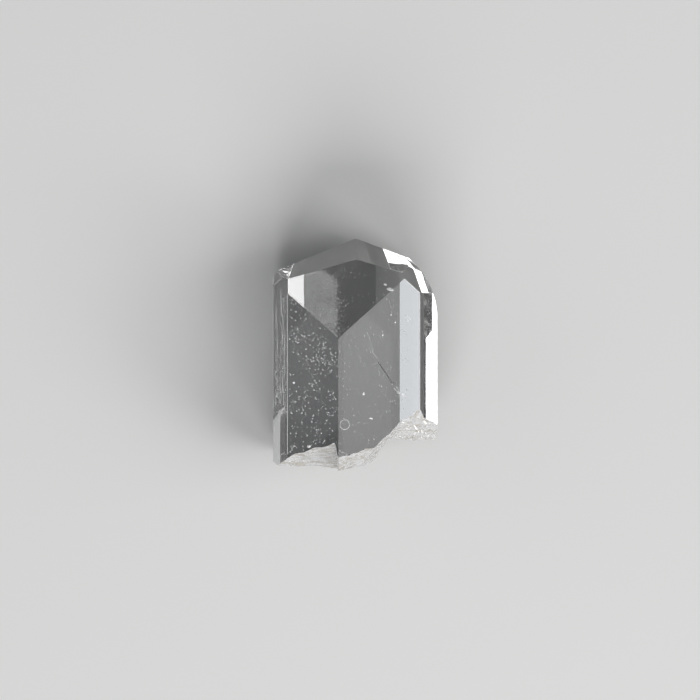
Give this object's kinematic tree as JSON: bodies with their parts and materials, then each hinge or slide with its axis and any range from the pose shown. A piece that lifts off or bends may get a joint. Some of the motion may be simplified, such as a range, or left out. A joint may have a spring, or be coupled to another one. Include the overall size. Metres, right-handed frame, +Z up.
{
  "type": "phenakite crystal",
  "caption": "Colourless prismatic mineral crystal with a pointed, faceted end and a broken, conchoidal root end, lying on a long prism face.",
  "frame": {"origin": "middle of the crystal's box, on the surface that it lies on", "axes": "+Y along the crystal's long axis towards its pointed end, +Z up from the resting face to the long upper edge, +X to the right of that edge"},
  "size_m": [0.0082, 0.0116, 0.0071],
  "materials": {
    "crystal": "clear vitreous crystal faces with fine etch pits, a rough glittering break at one end"
  },
  "bodies": {
    "root": {"phenakite_crystal": "crystal"}
  },
  "joints": []
}
